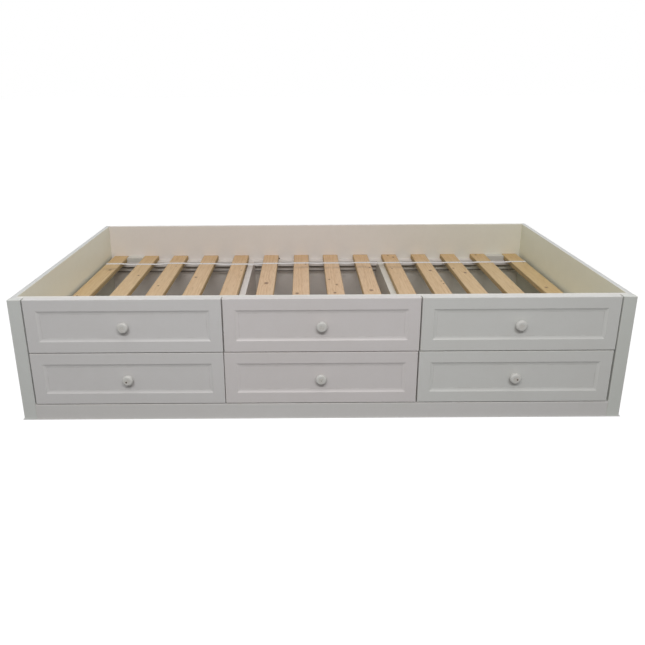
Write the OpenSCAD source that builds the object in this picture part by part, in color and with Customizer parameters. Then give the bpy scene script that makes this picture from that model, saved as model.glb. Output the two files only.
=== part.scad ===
// Captain's bed frame: a painted storage bed with a deep mattress well on pine slats,
// three fixed false fronts above three drawers. X runs along the bed, -Y is the drawer
// side, Z is up. The origin is on the floor, in the middle of the outer box.

/* [Overall] */
// Length of the bed over its end panels
bed_w = 1956; // [1880:2:2040]
// Depth from the face of the fronts to the outer face of the rear panel
bed_d = 1070; // [980:2:1160]
// Height of the rim above the floor
bed_h = 414; // [400:1:440]

/* [Boards] */
// Thickness of the end panels, the rear panel and the front rail
panel_t = 18; // [16:1:22]
// Thickness of the fronts, the stiles and the plinth rail
front_t = 22; // [20:1:25]
// Thickness of the two dividers under the slats
divider_t = 24; // [18:1:28]
// Width of the stile at each end of the front
stile_w = 42; // [36:1:55]
// Height of the plinth rail under the drawers
plinth_h = 52; // [44:1:60]
// Chamfer that eases the edges of the painted boards
ease = 1.2; // [0.6:0.2:2]

/* [Fronts] */
// Gap above and below a front
row_gap = 3; // [2:0.5:4]
// Gap at the sides of a front
column_gap = 4; // [3:0.5:5]
// Width of the flat border round each moulded panel
border_w = 37; // [32:1:50]
// Width of the small fillets on both sides of the moulding, and the depth of the first one
fillet_w = 0.6; // [0.4:0.1:1.5]
// Width of the hollow of the moulding
hollow_w = 10.4; // [8:0.2:14]
// How far the hollow falls from the first fillet to the second
hollow_fall = 3.2; // [2:0.1:5]
// Height of the last small step onto the panel
bead_step = 0.4; // [0.3:0.1:1]
// How far the middle and right drawer fronts were hung to the left of true
front_shift = 2; // [0:0.5:2.5]
// Gap between a closed drawer front and the boards behind it
closing_gap = 0.5; // [0.3:0.1:1]

/* [Knobs] */
// Largest diameter of a knob
knob_d = 35; // [30:1:40]
// Length of a knob from the panel to its face
knob_len = 24; // [20:1:30]
// Radius of the rounded rim of the knob's head
knob_rim_r = 6.5; // [5:0.5:7]
// Diameter of the foot that sits on the panel
knob_foot_d = 19; // [17:1:22]
// Diameter of the neck behind the head
knob_neck_d = 13; // [11:1:15]
// Diameter of the screw that holds a knob
screw_d = 4; // [3:0.5:5]
// Diameter of the screw's head
screw_head_d = 8; // [7:0.5:9]

/* [Slats] */
// Depth of the mattress well, from the rim down to the slats
well_depth = 141; // [130:1:150]
// Width of a slat
slat_w = 68; // [55:1:80]
// Thickness of a slat
slat_t = 20; // [16:1:24]
// Gap between an outer slat and the end panel
slat_margin = 12.6; // [6:0.2:20]
// Gap between a slat's end and the panel it points at
slat_end_gap = 1; // [0.5:0.5:4]
// Depth of the ledges that carry the slats
ledge_d = 38; // [30:1:45]
// Height of the ledges that carry the slats
ledge_h = 24; // [20:1:30]
// Height of the blocks that keep the slats in place
stop_h = 19; // [14:0.5:20]
// Width of the webbing tape over the slats
tape_w = 18; // [12:1:25]
// Thickness of the webbing tape
tape_t = 0.8; // [0.6:0.1:1.2]
// Distance of each tape from the panel beside it
tape_inset = 143; // [90:1:180]

/* [Drawers] */
// Thickness of the boards of a drawer box
box_t = 15; // [12:1:16]
// Length of a drawer box behind its front
box_l = 560; // [520:5:580]
// Height of the drawer boxes above the plinth rail
box_lift = 10; // [6:1:14]
// Room above a drawer box, under the ledge and the front rail
box_headroom = 11; // [8:1:20]
// Thickness of a drawer bottom
bottom_t = 6; // [4:0.5:8]
// Height of the groove for the bottom above the lower edge of a box
groove_z = 12; // [8:1:16]
// Depth of the groove for the bottom
groove_d = 6; // [4:0.5:7]

/* [Runners] */
// Space for a runner on each side of a drawer box
runner_space = 12.7; // [12.2:0.1:13.5]
// Height of a runner
runner_h = 45; // [42:1:50]
// Length of a runner
runner_l = 500; // [450:10:510]
// Sheet thickness of a runner
runner_t = 1.2; // [1:0.1:1.5]
// Diameter of the balls between the two members
ball_d = 4; // [3.5:0.1:4.5]
// Running clearance of the balls
ball_gap = 0.3; // [0.2:0.05:0.4]
// Height of the packer behind an end runner
packer_h = 70; // [55:1:90]

/* [Hidden] */
$fn = 64;
slat_count = 14;
// How far the fitter set each slat to the right of its even place
slat_slip = [0, 2, -1, 1, 4, 4, 4, -1, -1, -7, -9, -12, -12, -3];
gap_cover = 1;              // part of a column gap that the divider's edge closes
neck_rise = 1;              // how far the knob's neck hollow lies above the middle of the neck
slat_ease = 2;              // chamfer along a slat's edges
stop_clearance = 0.3;       // each side of a stop block
channel_lip = 2;            // lip that keeps the balls in the cabinet member
runner_setback = 10;        // from the back of the fronts to the runners
cage_l = 100;               // length of a ball cage
cage_w = 3.6;               // width of a ball cage
cage_clearance = 0.05;      // between a cage and the cabinet member
head_recess_d = 11;         // counterbore behind a front for the screw's head
head_recess_l = 5;
head_l = 3;
screw_clearance = 0.2;      // radial, in the front
thread_clearance = 0.03;    // radial, in the knob
thread_l = 12;              // how far the screw goes into the knob
bottom_clearance = 0.3;     // between the bottom and the ends of its grooves
over = 0.01;                // overshoot of a cut past its face, and of the moulding into its board

moulding_w = 2 * fillet_w + hollow_w;
panel_recess = fillet_w + hollow_fall + bead_step;
hollow_r = (hollow_w * hollow_w + hollow_fall * hollow_fall) / (2 * hollow_fall);
front_y = (knob_len - panel_recess - bed_d) / 2;    // face of the fronts
back_y = front_y + bed_d;                           // outer face of the rear panel
carcass_y = front_y + front_t;                      // plane behind the fronts
well_front_y = carcass_y + panel_t;                 // inner face of the front rail
well_back_y = back_y - panel_t;                     // inner face of the rear panel
inner_x = bed_w / 2 - panel_t;                      // inner face of an end panel
opening_x = bed_w / 2 - stile_w;                    // inner edge of a stile
front_w = (2 * opening_x - 4 * column_gap) / 3;
front_h = (bed_h - plinth_h - 2 * row_gap) / 2;
lower_z = plinth_h + row_gap;
upper_z = lower_z + front_h + row_gap;
rail_z = upper_z - 3 * row_gap;                     // the rail backs the gap between the rows
pitch_x = front_w + column_gap;                     // from one front to the next
divider_out_x = pitch_x / 2 - column_gap / 2 + gap_cover;   // outer face of a divider
divider_in_x = divider_out_x - divider_t;
slat_top = bed_h - well_depth;
slat_z = slat_top - slat_t;
slat_l = well_back_y - well_front_y - 2 * slat_end_gap;
slat_pitch = (2 * inner_x - 2 * slat_margin - slat_w) / (slat_count - 1);
ledge_z = slat_z - ledge_h;
box_z = plinth_h + box_lift;
box_h = min(ledge_z, rail_z) - box_headroom - box_z;
box_front_y = carcass_y - closing_gap;              // where a box meets its front
runner_z = box_z + (box_h - runner_h) / 2;
runner_y = carcass_y + runner_setback;
ball_space = ball_d + ball_gap;                     // between the flanges of the two members
wall = "ivory";
pine = "burlywood";
birch = "wheat";

SIDES = ["left", "centre", "right"];
function slat_name(i) = str("slat_", i < 10 ? "0" : "", i);
CARCASS_NODES = ["end_panel_left", "end_panel_right", "rear_panel", "front_rail",
    "stile_left", "stile_right", "plinth_rail", "divider_left", "divider_right",
    "ledge_rear", "ledge_front", "slat_stops", "runner_packers", "cabinet_runners",
    "slat_tape_rear", "slat_tape_front"];
SLAT_NODES = [for (i = [1:slat_count]) slat_name(i)];
FALSE_NODES = [for (s = SIDES) for (p = ["false_front_", "false_knob_"]) str(p, s)];
DRAWER_PARTS = ["drawer_front_", "drawer_knob_", "drawer_side_l_", "drawer_side_r_",
    "drawer_subfront_", "drawer_back_", "drawer_bottom_", "drawer_runners_"];
DRAWER_NODES = [for (s = SIDES) for (p = DRAWER_PARTS) str(p, s)];

// ---- shared shapes ----

// Rectangle with chamfered corners: c = [low-left, low-right, high-right, high-left]
module eased_rect(w, h, c) {
    polygon([
        [c[0], 0], [w - c[1], 0], [w, c[1]], [w, h - c[2]],
        [w - c[2], h], [c[3], h], [0, h - c[3]], [0, c[0]]
    ]);
}

// Bar along Y whose XZ section is an eased rectangle
module bar_y(w, l, h, c) {
    translate([0, l, 0]) rotate([90, 0, 0]) linear_extrude(l) eased_rect(w, h, c);
}

// Bar along X whose YZ section is an eased rectangle
module bar_x(l, d, h, c) {
    rotate([90, 0, 90]) linear_extrude(l) eased_rect(d, h, c);
}

// Bar along Z whose XY section is an eased rectangle
module bar_z(w, d, h, c) {
    linear_extrude(h) eased_rect(w, d, c);
}

// ---- carcass ----

// Runs from the stile to the back; its top edges are eased
module end_panel(side) {
    color(wall)
        translate([side < 0 ? -bed_w / 2 : inner_x, carcass_y, 0])
            bar_y(panel_t, bed_d - front_t, bed_h, [0, 0, ease, ease]);
}

module rear_panel() {
    color(wall)
        translate([-inner_x, well_back_y, 0])
            bar_x(2 * inner_x, panel_t, bed_h, [0, 0, ease, ease]);
}

// The fixed rail behind the false fronts is the front wall of the mattress well
module front_rail() {
    color(wall)
        translate([-inner_x, carcass_y, rail_z])
            bar_x(2 * inner_x, panel_t, bed_h - rail_z, [0, 0, ease, 0]);
}

// Stands in front of the end panel's edge; both front corners and the top are eased
module stile(side) {
    color(wall)
        translate([side < 0 ? -bed_w / 2 : opening_x, front_y, 0])
            intersection() {
                bar_z(stile_w, front_t, bed_h, [ease, ease, 0, 0]);
                bar_x(stile_w, front_t, bed_h, [0, 0, 0, ease]);
            }
}

module plinth_rail() {
    color(wall)
        translate([-opening_x, front_y, 0])
            bar_x(2 * opening_x, front_t, plinth_h, [0, 0, 0, ease]);
}

// A divider is notched under the front rail and round both ledges
module divider(side) {
    color(wall)
        translate([side < 0 ? -divider_out_x : divider_in_x, 0, 0])
            difference() {
                translate([0, carcass_y, 0])
                    cube([divider_t, well_back_y - carcass_y, slat_z]);
                translate([-over, carcass_y - over, rail_z])
                    cube([divider_t + 2 * over, panel_t + over, bed_h]);
                translate([-over, well_front_y - over, ledge_z])
                    cube([divider_t + 2 * over, ledge_d + over, ledge_h + over]);
                translate([-over, well_back_y - ledge_d, ledge_z])
                    cube([divider_t + 2 * over, ledge_d + over, ledge_h + over]);
            }
}

module ledge(y, c) {
    color(wall)
        translate([-inner_x, y, ledge_z])
            bar_x(2 * inner_x, ledge_d, ledge_h, c);
}

// ---- slats ----

function slat_x(i) = -inner_x + slat_margin + slat_w / 2 + (i - 1) * slat_pitch + slat_slip[i - 1];

module slat(i) {
    color(pine)
        translate([slat_x(i) - slat_w / 2, well_front_y + slat_end_gap, slat_z])
            bar_y(slat_w, slat_l, slat_t, slat_ease * [1, 1, 1, 1]);
}

// One block stands on the ledge between each outer slat and its neighbour
module slat_stops() {
    color(wall)
        for (i = [1, slat_count - 1]) {
            block_x = slat_x(i) + slat_w / 2 + stop_clearance;
            block_w = slat_x(i + 1) - slat_w / 2 - stop_clearance - block_x;
            for (y = [well_front_y, well_back_y - ledge_d])
                translate([block_x, y, slat_z])
                    cube([block_w, ledge_d, stop_h]);
        }
}

// Flat strap over all slats, stapled to each of them
module slat_tape(y) {
    left_x = slat_x(1) - slat_w / 2;
    color("white")
        translate([left_x, y - tape_w / 2, slat_top])
            cube([slat_x(slat_count) + slat_w / 2 - left_x, tape_w, tape_t]);
}

// ---- moulded fronts ----

// Section of the moulding: fillet, hollow, fillet and a small step onto the panel. The hollow is
// an arc that runs out level at its inner end. The section reaches a little into the border and
// under the panel, so that all is one board.
module moulding_section() {
    hollow_top = bead_step + hollow_fall;
    translate([-over, -over]) square([fillet_w + over, hollow_top + over]);
    translate([-over, -over]) square([moulding_w + over, bead_step + over]);
    difference() {
        translate([fillet_w - over, bead_step - over])
            square([hollow_w + over, hollow_fall + over]);
        translate([fillet_w + hollow_w, bead_step + hollow_r]) circle(hollow_r);
    }
}

// One side of the moulding, l long, along X from the origin. The section falls away from the
// border, so where two sides cross in a corner they leave a true mitre.
module moulding_bar(l) {
    translate([-over, panel_recess, 0])
        rotate([90, 0, 90]) linear_extrude(l + 2 * over)
            rotate(90) moulding_section();
}

// Front board in its own corner frame: X across, Z up, face at y = 0, t thick.
// The panel is sunk and moulded out of the board, and the knob's screw passes its middle.
module moulded_front(t) {
    field_w = front_w - 2 * border_w;
    field_h = front_h - 2 * border_w;
    color(wall)
        difference() {
            union() {
                difference() {
                    intersection() {
                        bar_z(front_w, t, front_h, [ease, ease, 0, 0]);
                        bar_x(front_w, t, front_h, [ease, 0, 0, ease]);
                    }
                    translate([border_w, -over, border_w])
                        cube([field_w, panel_recess + over, field_h]);
                }
                translate([border_w, 0, border_w]) moulding_bar(field_w);
                translate([border_w, 0, front_h - border_w])
                    mirror([0, 0, 1]) moulding_bar(field_w);
                translate([border_w, 0, front_h - border_w])
                    rotate([0, 90, 0]) moulding_bar(field_h);
                translate([front_w - border_w, 0, border_w])
                    rotate([0, -90, 0]) moulding_bar(field_h);
            }
            translate([front_w / 2, 0, front_h / 2]) rotate([-90, 0, 0]) {
                cylinder(d = screw_d + 2 * screw_clearance, h = t);
                translate([0, 0, t - head_recess_l])
                    cylinder(d = head_recess_d, h = head_recess_l + over);
            }
        }
}

// Half section of a knob, foot at y = 0: foot, hollow neck, domed back and rounded rim
module knob_section() {
    head_t = 2 * knob_rim_r;
    neck_h = knob_len - head_t;
    waist_r = neck_h / 2;
    difference() {
        union() {
            square([knob_foot_d / 2, neck_h]);
            translate([0, neck_h]) square([knob_d / 2 - knob_rim_r, head_t]);
            translate([knob_d / 2 - knob_rim_r, knob_len - knob_rim_r]) circle(knob_rim_r);
        }
        translate([knob_neck_d / 2 + waist_r, neck_h / 2 + neck_rise]) circle(waist_r);
        translate([-knob_d, -over]) square([knob_d, knob_len + 2 * over]);
        translate([-over, -over]) square([screw_d / 2 + thread_clearance + over, thread_l + over]);
    }
}

// Knob with its screw, in the corner frame of the front that carries it
module knob(t) {
    seat = t - head_recess_l;
    translate([front_w / 2, panel_recess, front_h / 2]) {
        color(wall)
            rotate([90, 0, 0]) rotate_extrude() knob_section();
        color("silver")
            translate([0, seat - panel_recess, 0]) rotate([90, 0, 0]) {
                cylinder(d = screw_d, h = seat - panel_recess + thread_l - thread_clearance);
                translate([0, 0, -head_l]) cylinder(d = screw_head_d, h = head_l);
            }
    }
}

// ---- columns: -1 left, 0 centre, 1 right ----

function front_x(c) = c * pitch_x - front_w / 2;
function drawer_front_x(c) = front_x(c) - (c < 0 ? 0 : front_shift);
// Outer faces of the drawer box of each column
function box_x0(c) = runner_space + (c < 0 ? -opening_x : c > 0 ? divider_out_x : -divider_in_x);
function box_x1(c) = -runner_space + (c < 0 ? -divider_out_x : c > 0 ? opening_x : divider_in_x);

module at_false_front(c) {
    translate([front_x(c), front_y, upper_z]) children();
}

module at_drawer_front(c) {
    translate([drawer_front_x(c), front_y, lower_z]) children();
}

// ---- drawer boxes ----

// Side board, grooved for the bottom; side is -1 for the left and 1 for the right
module drawer_side(c, side) {
    x = side < 0 ? box_x0(c) : box_x1(c) - box_t;
    groove_x = side < 0 ? box_t - groove_d : -over;
    color(birch)
        translate([x, box_front_y, box_z])
            difference() {
                bar_y(box_t, box_l, box_h, [0, 0, ease, ease]);
                translate([groove_x, -over, groove_z])
                    cube([groove_d + over, box_l + 2 * over, bottom_t]);
            }
}

// Inner front between the sides, screwed to the moulded front
module drawer_subfront(c) {
    w = box_x1(c) - box_x0(c) - 2 * box_t;
    color(birch)
        translate([box_x0(c) + box_t, box_front_y, box_z])
            difference() {
                bar_x(w, box_t, box_h, [0, 0, ease, ease]);
                translate([-over, box_t - groove_d, groove_z])
                    cube([w + 2 * over, groove_d + over, bottom_t]);
            }
}

// The back stands on the bottom
module drawer_back(c) {
    z = groove_z + bottom_t;
    color(birch)
        translate([box_x0(c) + box_t, box_front_y + box_l - box_t, box_z + z])
            bar_x(box_x1(c) - box_x0(c) - 2 * box_t, box_t, box_h - z, [0, 0, ease, ease]);
}

module drawer_bottom(c) {
    reach = groove_d - bottom_clearance;
    y = box_front_y + box_t - reach;
    color(birch)
        translate([box_x0(c) + box_t - reach, y, box_z + groove_z])
            cube([
                box_x1(c) - box_x0(c) - 2 * box_t + 2 * reach,
                box_front_y + box_l - y,
                bottom_t
            ]);
}

// ---- runners ----

// Cabinet member in section: x = 0 on the wall, y up, a channel with turned-in lips
module cabinet_section() {
    depth = runner_space - 2 * runner_t;
    difference() {
        square([depth, runner_h]);
        translate([runner_t, runner_t]) square([depth - 2 * runner_t, runner_h - 2 * runner_t]);
        translate([depth - runner_t - over, runner_t + channel_lip])
            square([runner_t + 2 * over, runner_h - 2 * (runner_t + channel_lip)]);
    }
}

// Drawer member in section: a channel that stands open towards the wall
module drawer_section() {
    inset = runner_t + ball_space;
    inner_h = runner_h - 2 * inset;
    wall_gap = 2 * runner_t;
    difference() {
        translate([wall_gap, inset]) square([runner_space - wall_gap, inner_h]);
        translate([wall_gap - over, inset + runner_t])
            square([runner_space - wall_gap - runner_t + over, inner_h - 2 * runner_t]);
    }
}

// Two ball cages in section, loose between the flanges of the two members
module cage_section() {
    x = (runner_space - cage_w) / 2;
    cage_h = ball_d - cage_clearance;
    translate([x, runner_t + cage_clearance]) square([cage_w, cage_h]);
    translate([x, runner_h - runner_t - cage_clearance - cage_h]) square([cage_w, cage_h]);
}

// Draws a section l long from the runner's front end, on the left wall (-1) or the right one
module along_runner(c, side, l) {
    x = side < 0 ? box_x0(c) - runner_space : box_x1(c) + runner_space;
    translate([x, runner_y, runner_z])
        mirror([side < 0 ? 0 : 1, 0, 0])
            translate([0, l, 0]) rotate([90, 0, 0]) linear_extrude(l)
                children();
}

module cabinet_runners() {
    for (c = [-1:1])
        for (side = [-1, 1]) {
            color("silver") along_runner(c, side, runner_l) cabinet_section();
            color("dimgray") along_runner(c, side, cage_l) cage_section();
        }
}

module drawer_runners(c) {
    color("silver")
        for (side = [-1, 1]) along_runner(c, side, runner_l) drawer_section();
}

// Packers bring the outer runners flush with the stiles
module runner_packers() {
    color(pine)
        for (side = [-1, 1])
            translate([side < 0 ? -inner_x : opening_x, carcass_y, box_z + (box_h - packer_h) / 2])
                cube([inner_x - opening_x, runner_l + 2 * runner_setback, packer_h]);
}

// ---- nodes ----

end_panel(-1);  // end_panel_left
end_panel(1);  // end_panel_right
rear_panel();
front_rail();
stile(-1);  // stile_left
stile(1);  // stile_right
plinth_rail();
divider(-1);  // divider_left
divider(1);  // divider_right
ledge(well_back_y - ledge_d, [ease, 0, 0, ease]);  // ledge_rear
ledge(well_front_y, [0, ease, ease, 0]);  // ledge_front
slat_stops();
runner_packers();
cabinet_runners();
slat_tape(well_back_y - tape_inset);  // slat_tape_rear
slat_tape(well_front_y + tape_inset);  // slat_tape_front
for (i = [1:slat_count]) slat(i);
for (c = [-1:1]) {
    s = SIDES[c + 1];
    box_front_t = front_t - closing_gap;
    at_false_front(c) moulded_front(front_t);
    at_false_front(c) knob(front_t);
    at_drawer_front(c) moulded_front(box_front_t);
    at_drawer_front(c) knob(box_front_t);
    drawer_side(c, -1);
    drawer_side(c, 1);
    drawer_subfront(c);
    drawer_back(c);
    drawer_bottom(c);
    drawer_runners(c);
}
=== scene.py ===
import math

import bmesh
import bpy
from mathutils import Matrix, Vector


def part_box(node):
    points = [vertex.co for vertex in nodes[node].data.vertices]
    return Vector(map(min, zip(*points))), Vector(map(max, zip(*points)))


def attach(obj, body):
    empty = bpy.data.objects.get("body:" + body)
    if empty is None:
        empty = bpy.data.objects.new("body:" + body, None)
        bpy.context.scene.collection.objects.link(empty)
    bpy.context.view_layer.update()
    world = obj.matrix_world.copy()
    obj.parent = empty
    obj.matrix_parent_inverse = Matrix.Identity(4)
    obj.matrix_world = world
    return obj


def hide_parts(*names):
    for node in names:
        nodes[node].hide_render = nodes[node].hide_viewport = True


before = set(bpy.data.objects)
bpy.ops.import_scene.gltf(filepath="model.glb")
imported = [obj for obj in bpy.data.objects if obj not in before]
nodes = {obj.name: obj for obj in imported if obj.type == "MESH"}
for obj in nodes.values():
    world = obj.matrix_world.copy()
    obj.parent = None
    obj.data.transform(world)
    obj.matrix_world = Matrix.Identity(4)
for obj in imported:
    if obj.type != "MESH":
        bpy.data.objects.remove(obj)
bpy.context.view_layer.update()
print("stage: frame loaded,", len(nodes), "nodes")

mm = 0.001
sides = ["left", "centre", "right"]
slatNames = ["slat_%02d" % i for i in range(1, 15)]
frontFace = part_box("false_front_centre")[0].y
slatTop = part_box("slat_07")[1].z


def hexColour(text):
    # a colour as a painter picks it, turned into the linear numbers that sockets take
    parts = [int(text[i:i + 2], 16) / 255 for i in (0, 2, 4)]
    linear = [c / 12.92 if c <= 0.04045 else ((c + 0.055) / 1.055) ** 2.4 for c in parts]
    return (*linear, 1)


def grey(level):
    return (level, level, level, 1)


class Wire:
    # a node's output, so that shader maths reads as plain expressions
    def __init__(self, finish, socket):
        self.finish = finish
        self.socket = socket

    def __add__(self, other):
        return self.finish.maths("ADD", self, other)

    def __radd__(self, other):
        return self.finish.maths("ADD", other, self)

    def __sub__(self, other):
        return self.finish.maths("SUBTRACT", self, other)

    def __rsub__(self, other):
        return self.finish.maths("SUBTRACT", other, self)

    def __mul__(self, other):
        return self.finish.maths("MULTIPLY", self, other)

    def __rmul__(self, other):
        return self.finish.maths("MULTIPLY", other, self)

    def __truediv__(self, other):
        return self.finish.maths("DIVIDE", self, other)

    def __rtruediv__(self, other):
        return self.finish.maths("DIVIDE", other, self)

    def __pow__(self, other):
        return self.finish.maths("POWER", self, other)

    def __rpow__(self, other):
        return self.finish.maths("POWER", other, self)

    def __abs__(self):
        return self.finish.maths("ABSOLUTE", self, 0.0)


class Finish:
    # a material, or the sky, and the nodes in it
    def __init__(self, name, shelf=bpy.data.materials):
        self.owner = shelf.new(name)
        self.owner.use_nodes = True
        self.tree = self.owner.node_tree
        self.tree.nodes.clear()

    def add(self, kind, settings=None, values=None, out=0):
        # kind is the node's type without Shader; out None is for a node that ends the tree
        node = self.tree.nodes.new("ShaderNode" + kind)
        for key, value in (settings or {}).items():
            if key == "stops":
                setStops(node.color_ramp, value)
            else:
                setattr(node, key, value)
        for key, value in (values or {}).items():
            if isinstance(value, Wire):
                self.tree.links.new(value.socket, node.inputs[key])
            else:
                node.inputs[key].default_value = value
        return None if out is None else Wire(self, node.outputs[out])

    def maths(self, operation, a, b):
        return self.add("Math", {"operation": operation}, {0: a, 1: b})

    def least(self, a, b):
        return self.maths("MINIMUM", a, b)

    def most(self, a, b):
        return self.maths("MAXIMUM", a, b)

    def fract(self, value):
        return self.add("Math", {"operation": "FRACT"}, {0: value})

    def sine(self, value):
        return self.add("Math", {"operation": "SINE"}, {0: value})

    def coords(self, scale=(1, 1, 1), offset=(0, 0, 0)):
        # the object's own coordinates in metres, moved and then scaled
        plain = self.add("TexCoord", out="Object")
        moved = self.add("VectorMath", {"operation": "ADD"}, {0: plain, 1: offset})
        return self.add("VectorMath", {"operation": "MULTIPLY"}, {0: moved, 1: scale})

    def parts(self, vector):
        # the x, y and z of a vector
        split = self.add("SeparateXYZ", None, {0: vector}).socket.node
        return [Wire(self, split.outputs[i]) for i in range(3)]

    def noise(self, coords, scale, detail, roughness, distortion=0.0):
        # scale is in patches to the metre, or 1 where the coordinates are scaled already
        values = {"Vector": coords, "Scale": scale, "Detail": detail,
                  "Roughness": roughness, "Distortion": distortion}
        return self.add("TexNoise", None, values)

    def ease(self, value, low, high):
        # 0 below low, 1 above high, smooth between
        settings = {"interpolation_type": "SMOOTHSTEP"}
        return self.add("MapRange", settings, {"Value": value, "From Min": low, "From Max": high})

    def fade(self, value, full, gone):
        # 1 below full, 0 above gone, smooth between
        return 1.0 - self.ease(value, full, gone)

    def near(self, value, reach):
        # 1 at zero, 0 beyond reach
        return self.fade(value, 0.0, reach)

    def between(self, value, low, high):
        # how deep a value lies in a span, and below 0 outside it
        return self.least(value - low, high - value)

    def away(self, right, up):
        return (right * right + up * up) ** 0.5

    def facing(self, axis):
        # 1 on faces that look along the axis, either way
        normal = self.add("NewGeometry", out="Normal")
        return self.ease(abs(self.parts(normal)[axis]), 0.5, 0.8)

    def ramp(self, value, stops):
        return self.add("ValToRGB", {"stops": stops}, {"Fac": value})

    def blend(self, factor, a, b):
        return self.add("Mix", {"data_type": "RGBA"}, {0: factor, 6: a, 7: b}, 2)

    def tint(self, mask, under, layer):
        # one more layer of colour where the mask is; a layer is its tone and how much of it shows
        tone, share = layer
        return self.blend(mask * share, under, hexColour(tone))

    def bump(self, height, distance, strength):
        values = {"Height": height, "Distance": distance, "Strength": strength}
        return self.add("Bump", None, values)

    def mixShaders(self, factor, a, b):
        return self.add("MixShader", None, {0: factor, 1: a, 2: b})

    def close(self, values):
        shader = self.add("BsdfPrincipled", None, values)
        self.add("OutputMaterial", None, {"Surface": shader}, None)
        return self.owner


def setStops(ramp, stops):
    # stops is a list of (place, colour)
    while len(ramp.elements) < len(stops):
        ramp.elements.new(0.5)
    for element, (place, colour) in zip(ramp.elements, stops):
        element.position = place
        element.color = colour


def alongEdges(f, low, high, reach):
    # 1 along the outer edges of a box-shaped board, 0 from reach on inwards
    spans = zip(f.parts(f.coords()), low, high)
    a, b, c = [f.between(value, start, end) for value, start, end in spans]
    second = f.most(f.least(a, b), f.least(f.most(a, b), c))       # the middle one of the three
    return f.near(second, reach)


def dress(node, material):
    # every material slot of a carried-over node gets the finish
    slots = nodes[node].data.materials
    if not len(slots):
        slots.append(material)
    for i in range(len(slots)):
        slots[i] = material


paintLook = {
    "gloss": 0.36,             # roughness of the satin film
    "roller": 0.08 * mm,       # height of the roller's stipple
    "edge": 2.0 * mm,          # width of a rubbed edge
    "outside": "dcdddb",       # outer faces and top edges of the end panels
    # layers on the film: tone and how much of it shows
    "drift": ("a89a84", 0.035),        # grime in patches as long as a board
    "cloud": ("a89a84", 0.03),         # and in patches a hand wide
    "worn": ("c9bda8", 0.35),          # primer, where an edge is rubbed
    "shadedRightEnd": ("e9e8d8", 0.7),       # the rear panel's right end, darker and greener like the end panel beside it: painted shade
    # noise patches to the metre
    "patches": {"drift": 3.5, "cloud": 22, "fine": 90, "waves": 30, "stipple": 420},
    "tones": {                 # tones set board by board to the light on them: the front-facing boards a little darker and the right end panel darker and greener, as painted shade; warmer inside the well, partly yellowed paint and partly painted light bounced from the pine
        "end_panel_left": "e8e8da", "end_panel_right": "e3e4d2", "rear_panel": "eee8e3",
        "front_rail": "e2e0db", "divider_left": "f0eae6", "divider_right": "ece8de",
        "ledge_rear": "eee8e4", "ledge_front": "e8e3dc", "slat_stops": "dedbd4",
        "stile_left": "dadcd9", "stile_right": "d7d9d4", "plinth_rail": "dad8d6",
        "left": "dbd9d8", "centre": "ded9d8", "right": "dadad7",
    },
}


def paint(name, tone, low, high, seed, extra=None):
    # extra gives a board its own mask, from 0 to 1, and the colour of it: marks, dirt and painted
    # shade, or the paint of its outer side
    look = paintLook
    patches = look["patches"]
    f = Finish("paint." + name)
    there = f.coords(offset=(seed * 3.1, seed * 1.7, seed * 0.9))
    slow = f.noise(there, patches["drift"], 4, 0.55)
    cloud = f.noise(there, patches["cloud"], 3, 0.6)
    fine = f.noise(there, patches["fine"], 4, 0.6)
    colour = hexColour(tone)
    # the rear panel's right end gets painted shade
    if name == "rear_panel":
        towardsRightEnd = f.ease(f.parts(f.coords())[0], 0.0, high.x)
        colour = f.tint(towardsRightEnd, colour, look["shadedRightEnd"])
    colour = f.tint(f.ease(slow, 0.35, 0.7), colour, look["drift"])
    colour = f.tint(f.ease(cloud * 0.6 + fine * 0.4, 0.38, 0.66), colour, look["cloud"])
    rub = alongEdges(f, low, high, look["edge"]) * f.ease(fine, 0.42, 0.62)
    colour = f.tint(rub, colour, look["worn"])
    touched = rub
    if extra is not None:
        overlay, overlayTone = extra(f, cloud)
        colour = f.blend(overlay, colour, hexColour(overlayTone))
        touched = f.most(rub, overlay * 0.5)
    rough = look["gloss"] + cloud * 0.12 + touched * 0.2
    stipple = f.noise(there, patches["stipple"], 2, 0.5)
    waves = f.noise(there, patches["waves"], 2, 0.5)
    return f.close({"Base Color": colour, "Roughness": rough, "IOR": 1.47,
                    "Normal": f.bump(stipple * 0.6 + waves * 1.6, look["roller"], 0.5)})


frontLook = {
    "border": 37 * mm,         # flat border of a front, up to its moulding
    "moulding": 11.6 * mm,
    "overlay": "7c7166",
    "dustAndShade": (1.4 * mm, 0.28),          # the line's width and strength
    "knobShadow": (12 * mm, 20 * mm, 0.32),       # painted shadow under the knob: full and gone at these radii, strength
    "drop": 17 * mm,           # from the knob's middle down to that of the painted shadow
}


def frontDustAndShade(low, high, knob):
    # a thin line along the foot of the moulding, dust in patches with painted crevice shade, and a
    # painted shadow under the knob
    look = frontLook
    width, lineShare = look["dustAndShade"]
    full, gone, darkened = look["knobShadow"]
    inset = look["border"] + look["moulding"]
    left, right, foot, top = low.x + inset, high.x - inset, low.z + inset, high.z - inset
    middle = sum(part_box(knob), Vector()) / 2

    def mask(f, cloud):
        x, y, z = f.parts(f.coords())
        line = f.least(f.least(abs(x - left), abs(x - right)), f.least(abs(z - foot), abs(z - top)))
        inside = f.least(f.between(x, left, right), f.between(z, foot, top))
        within = f.ease(inside, -1.5 * mm, 0.0)
        # dust in patches along the foot of the moulding, partly painted crevice shade
        dustAndShade = f.near(line, width) * within * f.ease(cloud, 0.3, 0.7) * lineShare
        # the painted shadow under the knob
        spot = f.away(x - middle.x, z - (middle.z - look["drop"]))
        return f.most(dustAndShade, f.fade(spot, full, gone) * darkened), look["overlay"]
    return mask


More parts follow.
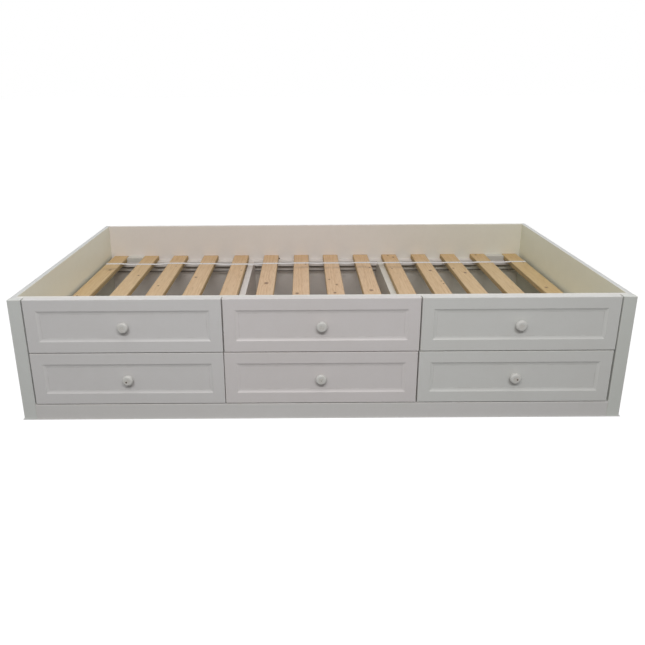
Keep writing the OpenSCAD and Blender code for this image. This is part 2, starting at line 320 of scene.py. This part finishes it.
rearLook = {
    "tone": "3a2a20",
    "strength": 0.9,
    "hole": (-171 * mm, 256 * mm, 4.5 * mm),   # an old nail hole: to the right, up, and radius
    # painted shadows in lines under the ledge, cast by the ledge and by the rear tape:
    # how far under the ledge's foot, reach and strength
    "joints": [(13 * mm, 5 * mm, 0.75), (33 * mm, 6 * mm, 0.85)],
}


def rearHoleAndShadows():
    # the marks on the rear panel's inner face: an old nail hole, and painted shadows of the ledge
    # and the rear tape
    look = rearLook
    right, up, radius = look["hole"]
    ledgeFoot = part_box("ledge_rear")[0].z
    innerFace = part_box("rear_panel")[0].y

    def mask(f, cloud):
        x, y, z = f.parts(f.coords())
        spot = f.away(x - right, z - up) + (cloud - 0.5) * 2 * mm
        marks = f.fade(spot, radius * 0.6, radius)
        # painted shadows of the ledge and of the rear tape, in lines under the ledge
        for under, reach, strength in look["joints"]:
            marks = f.most(marks, f.near(abs(ledgeFoot - z - under), reach) * strength)
        return marks * f.near(y - innerFace, 2 * mm) * look["strength"], look["tone"]
    return mask


def outerSide(face, top):
    # the outside and the top edge of an end panel take the fronts' tone, without the warmer tone of
    # the inner face, which is partly painted light
    skin = 1 * mm

    def mask(f, cloud):
        x, y, z = f.parts(f.coords())
        return f.most(f.near(abs(x - face), skin), f.near(top - z, skin)), paintLook["outside"]
    return mask


dividerMarkLook = {
    "tone": "8d6a4c",
    "waver": 6 * mm,
    "depth": (12 * mm, 2 * mm),        # gone and full this far under the top edge
    # before the divider's rear end, reach and strength
    "markBands": [(62 * mm, 7 * mm, 0.55), (78 * mm, 4 * mm, 0.3), (124 * mm, 5 * mm, 0.25),
               (300 * mm, 9 * mm, 0.12)],
}


def dividerTopMarks(high):
    # brown marks across a divider's top edge, near its rear end
    look = dividerMarkLook
    gone, full = look["depth"]

    def mask(f, cloud):
        x, y, z = f.parts(f.coords())
        wavering = y - high.y + (cloud - 0.5) * look["waver"]
        marks = 0.0
        for before, reach, strength in look["markBands"]:
            marks = f.most(marks, f.near(abs(wavering + before), reach) * strength)
        return marks * f.ease(z, high.z - gone, high.z - full), look["tone"]
    return mask


plainBoards = ["end_panel_left", "end_panel_right", "rear_panel", "front_rail", "divider_left",
               "divider_right", "ledge_rear", "ledge_front", "slat_stops", "stile_left",
               "stile_right", "plinth_rail"]
for i, name in enumerate(plainBoards):
    low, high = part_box(name)
    extra = None
    if name.startswith("divider"):
        extra = dividerTopMarks(high)
    elif name == "rear_panel":
        extra = rearHoleAndShadows()
    elif name.startswith("end_panel"):
        extra = outerSide(low.x if name.endswith("left") else high.x, high.z)
    dress(name, paint(name, paintLook["tones"][name], low, high, i, extra))
for i, side in enumerate(sides):
    for j, kind in enumerate(("false_front_", "drawer_front_")):
        name = kind + side
        low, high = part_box(name)
        overlay = frontDustAndShade(low, high, name.replace("front", "knob"))
        seed = 30 + 2 * i + j          # apart from the plain boards' seeds
        dress(name, paint(name, paintLook["tones"][side], low, high, seed, overlay))
print("stage: painted boards")


knobLook = {
    # the fronts' tone, which is darker than the carcass's partly as painted shade
    "paint": "d8d7d3",
    "gloss": 0.24,
    "bare": "57493c",          # old primer in a chip
    # a duller, darker paint, and how much of it shows: in patches, on the rim where it is rubbed,
    # and on the middle of the face, where it is painted shade as of a dished face, mottled like
    # wear
    "dullingAndShade": "bfb7ab",
    "cloudy": 0.1,
    "rubbed": 0.25,
    "darkened": 0.45,
    "rim": (14.5 * mm, 3 * mm),        # radius and reach
    "middle": (7 * mm, 11 * mm),       # full and gone at these radii
    # chips on the faces, in mm: to the right and up from the middle, and radius
    "chips": {"drawer_knob_left": (-3.0, -3.5, 3.0), "drawer_knob_right": (5.0, -2.0, 3.0),
              "drawer_knob_centre": (0.5, -2.0, 0.9)},
}


def knobPaint(name):
    look = knobLook
    f = Finish("paint." + name)
    low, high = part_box(name)
    middle = (low + high) / 2
    x, y, z = f.parts(f.coords())
    across = x - middle.x
    up = z - middle.z
    behind = y - low.y         # behind the front of the face
    speck = f.noise(f.coords(), 260, 3, 0.6)
    cloud = f.noise(f.coords(), 60, 3, 0.5)
    dullingAndShade = hexColour(look["dullingAndShade"])
    patches = f.ease(cloud, 0.35, 0.7) * look["cloudy"]
    colour = f.blend(patches, hexColour(look["paint"]), dullingAndShade)
    radius, reach = look["rim"]
    rim = f.near(abs(f.away(across, up) - radius), reach) * f.ease(speck, 0.4, 0.7)
    colour = f.blend(rim * look["rubbed"], colour, dullingAndShade)
    # a darker middle of the face, a little below its middle: painted shade as of a dished face,
    # mottled like wear
    full, gone = look["middle"]
    darkened = f.fade(f.away(across, up + 1.5 * mm), full, gone) * f.near(behind, 3 * mm)
    colour = f.blend(darkened * f.ease(speck, 0.3, 0.6) * look["darkened"], colour, dullingAndShade)
    rough = look["gloss"] + cloud * 0.15 + rim * 0.15
    height = cloud * 0.5 + speck * 0.3
    if name in look["chips"]:
        right, above, size = (v * mm for v in look["chips"][name])
        spot = f.away(across - right, up - above) + (speck - 0.5) * 1.6 * mm
        onFace = f.ease(f.near(behind, 4 * mm), 0.1, 0.3)
        chip = f.fade(spot, size * 0.7, size * 1.1) * onFace
        colour = f.blend(chip, colour, hexColour(look["bare"]))
        rough = rough + chip * 0.35
        height = height - chip * 1.2
    return f.close({"Base Color": colour, "Roughness": rough, "IOR": 1.5,
                    "Normal": f.bump(height, 0.15 * mm, 0.6)})


for side in sides:
    for kind in ("false_knob_", "drawer_knob_"):
        dress(kind + side, knobPaint(kind + side))
print("stage: knobs")


pineLook = {
    "early": "ebcaa8",         # the pale wood of a ring
    # layers over it: tone and how much of it shows
    "late": ("d3a87b", 0.5),           # the dark wood that closes a ring
    "warm": ("e0b789", 0.25),          # long warmer stretches
    "fibre": ("d3a87b", 0.16),
    "pores": ("b98a5a", 0.22),
    "blotch": ("b48d66", 0.14),
    "fleck": ("b18a5c", 0.3),          # short dark flecks
    "paleFleck": ("f4dcbc", 0.25),     # and pale ones between them
    "rearShade": ("cda36a", 0.3),        # behind the rear tape: painted shade towards the rear wall
    "wallShade": ("a8713f", 0.5),         # the last of the rear end, against the rear panel: deeper painted shade, broken by the pores
    "darkBand": ("9b7f6c", 0.35),
    "shadedSides": ("998359", 0.65),          # sawn side faces, darker as painted shade
    "rubbed": ("b98f63", 0.2),         # edges
    "knot": "9a6b45",
    "bark": "6e4a30",          # round a knot
    "golden": "dcc28c",        # the slats near both ends have gone more golden:
    "aged": {"left": (0.6, 1.6), "right": (0.75, 1.2)},        # how much, and how suddenly
    "ring": 5.5 * mm,          # from one growth ring to the next
    "wander": 60 * mm,         # how far the rings stray along a slat
    "ripple": 14 * mm,
    "gloss": 0.58,
    "banded": (1, 7, 8, 9, 10),       # slats with a darker band before the rear tape:
    "bandPlace": (88 * mm, 30 * mm),  # how far before it, and reach
    # a knot's width against its length, how far the rings bulge round it and over how many of
    # its radii, its ragged outline, and its soft edge in radii
    "knotShape": {"width": 0.62, "bulge": 0.8, "reach": 5, "ragged": 5 * mm, "edge": (0.3, 2.0)},
    # per slat: right of its middle, back from its front end, and radius, in mm
    "knots": {
        1: [(12, 776, 5), (-16, 420, 4)], 2: [(14, 690, 4), (-20, 250, 5)],
        3: [(-9, 545, 3.5), (10, 830, 3)], 4: [(-17, 659, 4.5), (12, 300, 4)],
        5: [(20, 760, 3), (-8, 190, 6)], 6: [(-1, 571, 7), (15, 160, 4)],
        7: [(-15, 436, 6), (20, 850, 3.5)], 8: [(-4, 441, 5), (8, 544, 4), (-20, 616, 3.5)],
        9: [(-1, 470, 6), (24, 792, 3.5)], 10: [(15, 960, 5), (-6, 990, 4), (-15, 772, 3)],
        11: [(7, 738, 5), (24, 585, 3), (26, 549, 3)], 12: [(-24, 771, 4), (11, 702, 5.5)],
        13: [(-11, 992, 4.5), (8, 330, 5)], 14: [(-9, 491, 5), (18, 850, 3)],
    },
}


def pine(name, seed, knots=(), golden=0.0, rearFrom=None, banded=False):
    look = pineLook
    f = Finish("pine." + name)
    low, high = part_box(name)
    shift = (seed * 0.37, seed * 1.13, seed * 0.21)
    middle = (low + high) / 2
    x, y, z = f.parts(f.coords())

    def grain(across, along, detail, roughness):
        # noise drawn out along the slat, in patches to the metre
        return f.noise(f.coords((across, along, across), shift), 1, detail, roughness)

    slow = grain(14, 1.3, 2, 0.5)
    wander = grain(5, 0.8, 1, 0.5)
    fibre = grain(900, 18, 3, 0.6)
    pores = grain(260, 6, 3, 0.55)
    blotch = grain(18, 9, 3, 0.6)
    fleck = grain(210, 16, 3, 0.65)
    # the rings run round a pith that lies under the slat, and bulge round each knot
    pith = ((seed * 7.3) % 60 - 30) * mm
    depth = (28 + (seed * 13.7) % 40) * mm
    sideways = x - middle.x - pith + (wander - 0.5) * look["wander"]
    radius = f.away(sideways, z - middle.z + depth) + (slow - 0.5) * look["ripple"]
    knotted = None
    shape = look["knotShape"]
    inner, rim = shape["edge"]
    for right, back, size in knots:
        gap = f.away(x - (middle.x + right * mm), (y - (low.y + back * mm)) * shape["width"])
        radius = radius + f.near(gap, size * shape["reach"] * mm) * size * shape["bulge"] * mm
        ragged = gap + (pores - 0.5) * shape["ragged"]
        here = f.fade(ragged, size * inner * mm, size * rim * mm)
        knotted = here if knotted is None else f.most(knotted, here)
    turn = f.fract(radius / look["ring"])
    late = f.ease(turn, 0.35, 0.9) * f.fade(turn, 0.93, 1.0)
    colour = f.tint(late, hexColour(look["early"]), look["late"])
    colour = f.tint(f.ease(wander, 0.3, 0.7), colour, look["warm"])
    colour = f.tint(f.ease(fibre, 0.45, 0.75), colour, look["fibre"])
    colour = f.tint(f.ease(pores, 0.58, 0.8), colour, look["pores"])
    colour = f.tint(f.ease(blotch, 0.45, 0.75), colour, look["blotch"])
    colour = f.blend(golden, colour, hexColour(look["golden"]))
    colour = f.tint(f.ease(fleck, 0.48, 0.72), colour, look["fleck"])
    colour = f.tint(f.ease(0.5 - fleck, 0.0, 0.22), colour, look["paleFleck"])
    if rearFrom is not None:
        # painted shade towards the rear wall
        colour = f.tint(f.ease(y, rearFrom, rearFrom + 60 * mm), colour, look["rearShade"])
        # deeper painted shade where the slat meets the rear panel
        wallShade = f.near(high.y - y, 14 * mm) * f.ease(pores, 0.4, 0.65)
        colour = f.tint(wallShade, colour, look["wallShade"])
        # a darker band before the rear tape on some slats
        if banded:
            before, reach = look["bandPlace"]
            darkBand = f.near(abs(y - (rearFrom - before) + (slow - 0.5) * look["wander"]), reach)
            colour = f.tint(darkBand * f.ease(blotch, 0.3, 0.6), colour, look["darkBand"])
    # the side faces darker: painted shade, and a rougher sawn surface
    shadedSides = f.facing(0)
    colour = f.tint(shadedSides, colour, look["shadedSides"])
    colour = f.tint(alongEdges(f, low, high, 3 * mm), colour, look["rubbed"])
    rough = look["gloss"] + fibre * 0.12 - late * 0.06 + shadedSides * 0.15
    height = late * -0.3 + fibre * 0.5 + pores * -0.4
    if knotted is not None:
        stops = [(0.0, hexColour(look["late"][0])), (0.45, hexColour(look["knot"])),
                 (1.0, hexColour(look["bark"]))]
        colour = f.blend(knotted * 0.9, colour, f.ramp(knotted, stops))
        rough = rough - knotted * 0.15
        height = height - knotted * 0.6
    return f.close({"Base Color": colour, "Roughness": rough, "IOR": 1.45,
                    "Normal": f.bump(height, 0.2 * mm, 0.5)})


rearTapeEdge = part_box("slat_tape_rear")[1].y
halfway = (len(slatNames) - 1) / 2
for i, name in enumerate(slatNames):
    share, sudden = pineLook["aged"]["right" if i > halfway else "left"]
    golden = share * (abs(i - halfway) / halfway) ** sudden
    dress(name, pine(name, i + 1.0, pineLook["knots"][i + 1], golden, rearTapeEdge,
                     i + 1 in pineLook["banded"]))
dress("runner_packers", pine("runner_packers", 31.0))
print("stage: slats")


plyLook = {
    "face": "e2c79b",
    "streak": ("cfa874", 0.5),         # tone and how much of it shows
    "silk": ("9c774c", 0.25),
    "rubbed": ("9c774c", 0.25),        # edges
    "dark": "9c774c",          # every other ply
    "ply": 1.4 * mm,
    "gloss": 0.42,
}


def birchPly(name, through, seed):
    # veneer on the faces, and the plies in stripes on the edges; through is the sheet's thin axis
    look = plyLook
    f = Finish("ply." + name)
    low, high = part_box(name)
    size = high - low
    longest = max(range(3), key=lambda k: size[k])
    shift = (seed, seed * 0.7, seed * 1.9)

    def grain(across, along, distortion):
        # noise drawn out along the sheet, in patches to the metre
        scale = [across] * 3
        scale[longest] = along
        return f.noise(f.coords(scale, shift), 1, 3, 0.6, distortion)

    flame = grain(70, 3, 0.6)
    fine = grain(600, 20, 0.0)
    face = hexColour(look["face"])
    colour = f.tint(f.ease(flame, 0.35, 0.7), face, look["streak"])
    colour = f.tint(f.ease(fine, 0.5, 0.8), colour, look["silk"])
    stripe = f.fract((f.parts(f.coords())[through] - low[through]) / (2 * look["ply"]))
    plies = f.ease(stripe, 0.44, 0.5) * f.fade(stripe, 0.94, 1.0)
    onFace = f.facing(through)
    colour = f.blend(onFace, f.blend(plies, face, hexColour(look["dark"])), colour)
    colour = f.tint(alongEdges(f, low, high, 1.5 * mm), colour, look["rubbed"])
    height = fine * 0.5 + plies * (1.0 - onFace) * 0.6
    return f.close({"Base Color": colour, "Roughness": look["gloss"] + flame * 0.15, "IOR": 1.48,
                    "Normal": f.bump(height, 0.12 * mm, 0.5)})


thinAxis = {"drawer_side_l_": 0, "drawer_side_r_": 0, "drawer_subfront_": 1, "drawer_back_": 1,
            "drawer_bottom_": 2}
for i, side in enumerate(sides):
    for j, (kind, axis) in enumerate(thinAxis.items()):
        dress(kind + side, birchPly(kind + side, axis, 2.0 * i + 0.3 * j))
print("stage: drawer boxes")


zincLook = {
    "dull": "b3b6ba",          # spangle, from dull to bright
    "bright": "cfd2d5",
    "drawn": ("8f9499", 0.3),          # drawing lines: tone and how much of it shows
    "gloss": 0.28,
}


def zincSteel(name, grain):
    # zinc-plated steel; grain is the drawing lines' fineness along x, y and z
    look = zincLook
    f = Finish("zinc." + name)
    spangle = f.noise(f.coords(), 140, 3, 0.6)
    drawn = f.noise(f.coords(grain), 1, 3, 0.6)
    colour = f.blend(f.ease(spangle, 0.3, 0.7), hexColour(look["dull"]), hexColour(look["bright"]))
    colour = f.tint(f.ease(drawn, 0.55, 0.8), colour, look["drawn"])
    rough = look["gloss"] + spangle * 0.15 + drawn * 0.12
    return f.close({"Base Color": colour, "Roughness": rough, "Metallic": 1.0,
                    "Normal": f.bump(drawn * 0.6 + spangle * 0.4, 0.05 * mm, 0.5)})


runnerSteel = zincSteel("runner", (500, 5, 500))
screwSteel = zincSteel("screw", (900, 900, 900))
dress("cabinet_runners", runnerSteel)
for side in sides:
    dress("drawer_runners_" + side, runnerSteel)


def meshObject(name, verts, faces, material):
    mesh = bpy.data.meshes.new(name)
    mesh.from_pydata([tuple(v) for v in verts], [], faces)
    mesh.materials.append(material)
    mesh.validate()
    mesh.update()
    bm = bmesh.new()
    bm.from_mesh(mesh)
    bmesh.ops.recalc_face_normals(bm, faces=bm.faces)
    bm.to_mesh(mesh)
    bm.free()
    thing = bpy.data.objects.new(name, mesh)
    bpy.context.scene.collection.objects.link(thing)
    return thing


screwLook = {
    "radius": 3.8 * mm,
    "height": 2.0 * mm,
    "round": 32,               # points round a head
    # the dome: radius and height, as shares of the head's
    "rings": [(1.0, 0.0), (1.0, 0.3), (0.93, 0.62), (0.72, 0.9), (0.5, 1.0)],
    # the cross: how far in and how far out it reaches, as shares of the radius
    "mouth": (0.13, 0.44),
    "floor": (0.1, 0.36),
    "pit": 0.5,                # depth of the cross, as a share of the height
    "runners": (40 * mm, 250 * mm, 40 * mm),   # two from a runner's front end, one from its rear
    # on the subfront: from its ends, its foot and its top
    "fronts": (60 * mm, 45 * mm, 30 * mm),
    "sheet": 1.2 * mm,         # thickness of the runners' steel
    "space": 12.7 * mm,        # from a drawer's side to the board beside it
}


def screwHead(verts, faces, seat, out):
    # domed head with a cross pressed into it; seat is the middle of its underside
    look = screwLook
    turn = out.to_track_quat("Z", "Y").to_matrix()
    start = len(verts)
    count = look["round"]
    rings = [(r, r, h) for r, h in look["rings"]]
    rings += [(*look["mouth"], 1.0), (*look["floor"], 1.0 - look["pit"])]
    for thin, lobe, h in rings:
        for k in range(count):
            a = 2 * math.pi * k / count
            arm = abs(math.cos(2 * a)) ** 5
            r = (thin + (lobe - thin) * arm) * look["radius"]
            point = Vector((r * math.cos(a), r * math.sin(a), h * look["height"]))
            verts.append(seat + turn @ point)
    for i in range(len(rings) - 1):
        for k in range(count):
            n = (k + 1) % count
            a, b = start + i * count, start + (i + 1) * count
            faces.append((a + k, a + n, b + n, b + k))
    faces.append(tuple(start + k for k in range(count)))
    faces.append(tuple(start + (len(rings) - 1) * count + k for k in range(count)))


def screws(name, places, body):
    verts, faces = [], []
    for seat, out in places:
        screwHead(verts, faces, Vector(seat), Vector(out))
    heads = meshObject(name, verts, faces, screwSteel)
    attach(heads, body)


sheet, space = screwLook["sheet"], screwLook["space"]
firstScrew, nextScrew, lastScrew = screwLook["runners"]
fromEnds, fromFoot, fromTop = screwLook["fronts"]
wallScrews = []
for side in sides:
    low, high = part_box("drawer_runners_" + side)
    mid = (low.z + high.z) / 2
    stations = (low.y + firstScrew, low.y + nextScrew, high.y - lastScrew)
    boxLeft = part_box("drawer_side_l_" + side)[0].x
    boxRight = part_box("drawer_side_r_" + side)[1].x
    # through the drawer's member into the box, with their heads in the channel
    places = [((boxLeft - sheet, y, mid), (-1, 0, 0)) for y in stations]
    places += [((boxRight + sheet, y, mid), (1, 0, 0)) for y in stations]
    # and from inside the box into the moulded front
    subLow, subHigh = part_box("drawer_subfront_" + side)
    for x in (subLow.x + fromEnds, subHigh.x - fromEnds):
        for z in (subLow.z + fromFoot, subHigh.z - fromTop):
            places.append(((x, subHigh.y, z), (0, 1, 0)))
    screws("drawer_screws_" + side, places, "drawer_" + side)
    wallScrews += [((boxLeft - space + sheet, y, mid), (1, 0, 0)) for y in stations]
    wallScrews += [((boxRight + space - sheet, y, mid), (-1, 0, 0)) for y in stations]
screws("cabinet_screws", wallScrews, "bed")
print("stage: runners and screws")


tapeLook = {
    "width": 18 * mm,
    "thick": 0.8 * mm,
    "lift": 0.15 * mm,         # over the wood
    "sag": 1.6 * mm,           # between slats
    "steps": 10,               # points from one slat's edge to the next
    "yarn": 1.1 * mm,
    "hollows": "f3efef",       # of the weave
    "crests": "fdfcfc",
    "soil": ("cfc6bd", 0.1),           # tone and how much of it shows
    # the upper side of its section, as shares of half the width and of the thickness
    "section": [(-1.0, 0.25), (-0.92, 0.9), (-0.4, 1.0), (0.4, 1.0), (0.92, 0.9), (1.0, 0.25)],
    # how far back the tape lies on each slat, in mm
    "sway": {"slat_tape_rear": (7, -3, 10, -1, -11, -2, 2, -1, 2, -1, -2, -4, -1, 4),
             "slat_tape_front": (-2, 3, 1, -4, 5, 2, -3, 0, 4, -2, -5, 1, 3, -1)},
}


def webbing():
    look = tapeLook
    f = Finish("webbing")
    x, y, z = f.parts(f.coords())
    turns = 2 * math.pi / look["yarn"]
    weave = f.sine(y * turns) * f.sine(x * turns)
    fuzz = f.noise(f.coords(), 700, 3, 0.6)
    soil = f.noise(f.coords(), 18, 3, 0.6)
    hollows, crests = hexColour(look["hollows"]), hexColour(look["crests"])
    colour = f.blend(f.ease(weave, -0.6, 0.8), hollows, crests)
    colour = f.tint(f.ease(soil, 0.4, 0.75), colour, look["soil"])
    return f.close({"Base Color": colour, "Roughness": 0.75 + fuzz * 0.15,
                    "Normal": f.bump(weave * 0.7 + fuzz * 0.5, 0.25 * mm, 0.8),
                    "Sheen Weight": 0.15, "Sheen Roughness": 0.4})


def tapeLine(node):
    # points along the middle of the tape: flat on each slat, a little slack between them
    look = tapeLook
    low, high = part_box(node)
    middle = (low.y + high.y) / 2
    rest = slatTop + look["lift"]
    edges = [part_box(name) for name in slatNames]
    backs = [middle + sway * mm for sway in look["sway"][node]]
    points = []
    for i, (a, b) in enumerate(edges):
        for t in (0.0, 0.5, 1.0):
            points.append(Vector((a.x + (b.x - a.x) * t, backs[i], rest)))
        if i + 1 == len(edges):
            continue
        nextX = edges[i + 1][0].x
        for k in range(1, look["steps"]):
            t = k / look["steps"]
            turned = t * t * (3 - 2 * t)
            drop = look["sag"] * 4 * t * (1 - t)
            points.append(Vector((b.x + (nextX - b.x) * t,
                                  backs[i] + (backs[i + 1] - backs[i]) * turned, rest - drop)))
    return points


def slatTape(node, line, material):
    # a woven strap with rounded edges, drawn along the line
    look = tapeLook
    half = look["width"] / 2
    section = look["section"] + [(side, 0.0) for side, up in reversed(look["section"])]
    verts = [(p.x, p.y + side * half, p.z + look["thick"] * up)
             for p in line for side, up in section]
    ring = len(section)
    faces = []
    for i in range(len(line) - 1):
        for j in range(ring):
            k = (j + 1) % ring
            faces.append((i * ring + j, i * ring + k, (i + 1) * ring + k, (i + 1) * ring + j))
    faces.append(tuple(range(ring)))
    faces.append(tuple(range(len(verts) - ring, len(verts))))
    tape = meshObject(node.replace("slat_", "") + "_webbing", verts, faces, material)
    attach(tape, "bed")
    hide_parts(node)
    return tape


stapleLook = {
    "crown": 10 * mm,
    "gauge": 1.1 * mm,         # width of the wire
    "flat": 0.6,               # its thickness as a share of that
    "inset": 14 * mm,          # from the slat's edges
    "askew": 0.12,             # at most, in radians
    "dull": "a9acb0",
    "bright": "c9ccd0",
    # along the crown as a share of its length, and above the tape in mm
    "stations": [(-0.5, -0.84), (-0.5, -0.14), (-0.46, 0.25), (0.0, 0.32), (0.46, 0.25),
                 (0.5, -0.14), (0.5, -0.84)],
}


def stapleWire():
    look = stapleLook
    f = Finish("staple_wire")
    speck = f.noise(f.coords(), 900, 3, 0.6)
    dull, bright = hexColour(look["dull"]), hexColour(look["bright"])
    return f.close({"Base Color": f.blend(f.ease(speck, 0.35, 0.7), dull, bright),
                    "Roughness": 0.3 + speck * 0.2, "Metallic": 1.0,
                    "Normal": f.bump(speck, 0.03 * mm, 0.4)})


def staples(name, line, material):
    # two staples on each slat, their crowns across the tape and their ends in the wood
    look = stapleLook
    verts, faces = [], []
    top = slatTop + tapeLook["lift"] + tapeLook["thick"]
    g = look["gauge"] / 2
    h = g * look["flat"]
    corners = ((-g, -h), (g, -h), (g, h), (-g, h))
    ring = len(corners)
    for i, slat in enumerate(slatNames):
        a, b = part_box(slat)
        back = next(p.y for p in line if a.x <= p.x <= b.x)
        for x in (a.x + look["inset"], b.x - look["inset"]):
            lean = look["askew"] * math.sin(5.1 * i + x * 40)
            along = Vector((math.sin(lean), math.cos(lean), 0))
            out = Vector((math.cos(lean), -math.sin(lean), 0))
            first = len(verts)
            for s, up in look["stations"]:
                centre = Vector((x, back, top + up * mm)) + along * s * look["crown"]
                rise = Vector((0, 0, 1)) if abs(s) < 0.5 else along * (1 if s > 0 else -1)
                verts += [centre + out * w + rise * t for w, t in corners]
            last = len(verts) - ring
            for k in range(first, last, ring):
                for m in range(ring):
                    n = (m + 1) % ring
                    faces.append((k + m, k + n, k + ring + n, k + ring + m))
            faces.append(tuple(range(first, first + ring)))
            faces.append(tuple(range(last, last + ring)))
    pins = meshObject(name, verts, faces, material)
    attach(pins, "bed")
    return pins


weave = webbing()
wire = stapleWire()
for node in ("slat_tape_rear", "slat_tape_front"):
    line = tapeLine(node)
    tape = slatTape(node, line, weave)
    pins = staples(node.replace("slat_", "") + "_staples", line, wire)


studio = {
    "floor": 0.12,             # what the floor throws back onto the bed
    "floorShown": 0.66,        # what the camera sees of the light on it
    "floorGlow": 0.68,         # and besides that light
    "floorCovered": 0.6,       # what it throws back from under the bed
    "contactShadow": (8 * mm, 2 * mm),         # no cover and full cover this far outside the bed; the glow fades over this band, a painted contact shadow
    "reach": 40,               # of the floor, in metres
    "sky": 0.36,
    "skyTone": (1, 0.995, 0.985, 1),
    # suns: strength, degrees to the right of the front, height and spread in degrees
    "suns": {"overhead": (0.08, 0, 72, 40), "leftFill": (0.06, -95, 14, 30),
             "rightFill": (0.09, 95, 14, 30), "backLeft": (0.09, -150, 18, 40),
             "backRight": (0.09, 150, 18, 40)},
    # the strip lamp over the camera: strength at the aim, and place and aim from the fronts' face
    "strip": {"strength": 0.43, "place": (-0.1, -2.2, 2.1), "aim": (0, 0, 0.25),
              "size": (1.6, 0.25)},
}


def seenDirectly(f):
    # 1 for what the camera sees, also in a mirror or through glass
    rays = f.add("LightPath").socket.node
    straight, mirrored, through = (Wire(f, rays.outputs["Is %s Ray" % kind])
                                   for kind in ("Camera", "Glossy", "Transmission"))
    return f.most(f.most(straight, mirrored), through)


def studioFloor():
    f = Finish("floor")
    plain, shown, pale = (f.add("BsdfDiffuse", None, {"Color": grey(studio[key])})
                          for key in ("floor", "floorShown", "floorCovered"))
    glow = f.add("Emission", None, {"Color": grey(1), "Strength": studio["floorGlow"]})
    lit = f.add("AddShader", None, {0: shown, 1: glow})
    # the floor under the bed has no glow, so that it lies in the dark as a real one does; the glow
    # also fades in a thin band just outside the bed, a painted contact shadow
    x, y, z = f.parts(f.coords())
    left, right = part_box("end_panel_left")[0].x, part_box("end_panel_right")[1].x
    front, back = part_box("plinth_rail")[0].y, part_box("rear_panel")[1].y
    inside = f.least(f.between(x, left, right), f.between(y, front, back))
    gone, full = studio["contactShadow"]
    noGlow = f.ease(inside, -gone, -full)
    plain = f.mixShaders(noGlow, plain, pale)
    lit = f.mixShaders(noGlow, lit, shown)
    both = f.mixShaders(seenDirectly(f), plain, lit)
    f.add("OutputMaterial", None, {"Surface": both}, None)
    reach = studio["reach"]
    corners = [(-reach, -reach, 0), (reach, -reach, 0), (reach, reach, 0), (-reach, reach, 0)]
    meshObject("studio_floor", corners, [(0, 1, 2, 3)], f.owner)


def sky():
    f = Finish("studio_sky", bpy.data.worlds)
    light = f.add("Background", None, {"Color": studio["skyTone"], "Strength": studio["sky"]})
    white = f.add("Background", None, {"Color": grey(1), "Strength": 1.0})
    both = f.mixShaders(seenDirectly(f), light, white)
    f.add("OutputWorld", None, {"Surface": both}, None)
    bpy.context.scene.world = f.owner


def lampObject(name, kind, towards):
    thing = bpy.data.objects.new(name, bpy.data.lights.new(name, kind))
    thing.rotation_euler = towards.to_track_quat("Z", "Y").to_euler()
    bpy.context.scene.collection.objects.link(thing)
    return thing


def sun(name, strength, side, height, spread):
    # a white surface that faces the sun squarely shows its strength
    a, h = math.radians(side), math.radians(height)
    towards = Vector((math.sin(a) * math.cos(h), -math.cos(a) * math.cos(h), math.sin(h)))
    lamp = lampObject(name, "SUN", towards).data
    lamp.energy = strength * math.pi
    lamp.angle = math.radians(spread)


def stripLamp():
    look = studio["strip"]
    place = Vector(look["place"]) + Vector((0, frontFace, 0))
    aim = Vector(look["aim"]) + Vector((0, frontFace, 0))
    thing = lampObject("strip", "AREA", place - aim)
    thing.location = place
    thing.visible_camera = False
    lamp = thing.data
    lamp.shape = "RECTANGLE"
    lamp.size, lamp.size_y = look["size"]
    # so that a white surface at the aim, facing the lamp, shows its strength
    lamp.energy = look["strength"] * (math.pi * (place - aim).length) ** 2


studioFloor()
sky()
stripLamp()
for name, values in studio["suns"].items():
    sun(name, *values)


cameraLook = {
    "place": (-0.0557, -1.8873, 1.0585),       # from the middle of the fronts' face, on the floor
    "pitch": 0.31651,          # downwards, in radians
    "yaw": -0.00192,           # to the right
    "roll": -0.00669,          # anticlockwise
    "sensor": 36,              # its width in mm
    "focal": 0.99907,          # as a share of that width
    "shift": (0.030853, -0.049457),            # the same
    "clip": (0.05, 200),       # nearest and farthest that it sees, in metres
}


def takeCamera():
    look = cameraLook
    data = bpy.data.cameras.new("camera")
    data.sensor_fit = "HORIZONTAL"
    data.sensor_width = look["sensor"]
    data.lens = look["sensor"] * look["focal"]
    data.shift_x, data.shift_y = look["shift"]
    data.clip_start, data.clip_end = look["clip"]
    thing = bpy.data.objects.new("camera", data)
    bpy.context.scene.collection.objects.link(thing)
    thing.location = Vector(look["place"]) + Vector((0, frontFace, 0))
    tilt = Matrix.Rotation(math.pi / 2 - look["pitch"], 3, "X")
    turn = Matrix.Rotation(-look["yaw"], 3, "Z")
    lean = Matrix.Rotation(look["roll"], 3, "Z")
    thing.rotation_euler = (turn @ tilt @ lean).to_euler()
    bpy.context.scene.camera = thing


takeCamera()
bpy.context.scene.view_settings.view_transform = "Standard"
print("stage: floor, light and camera")
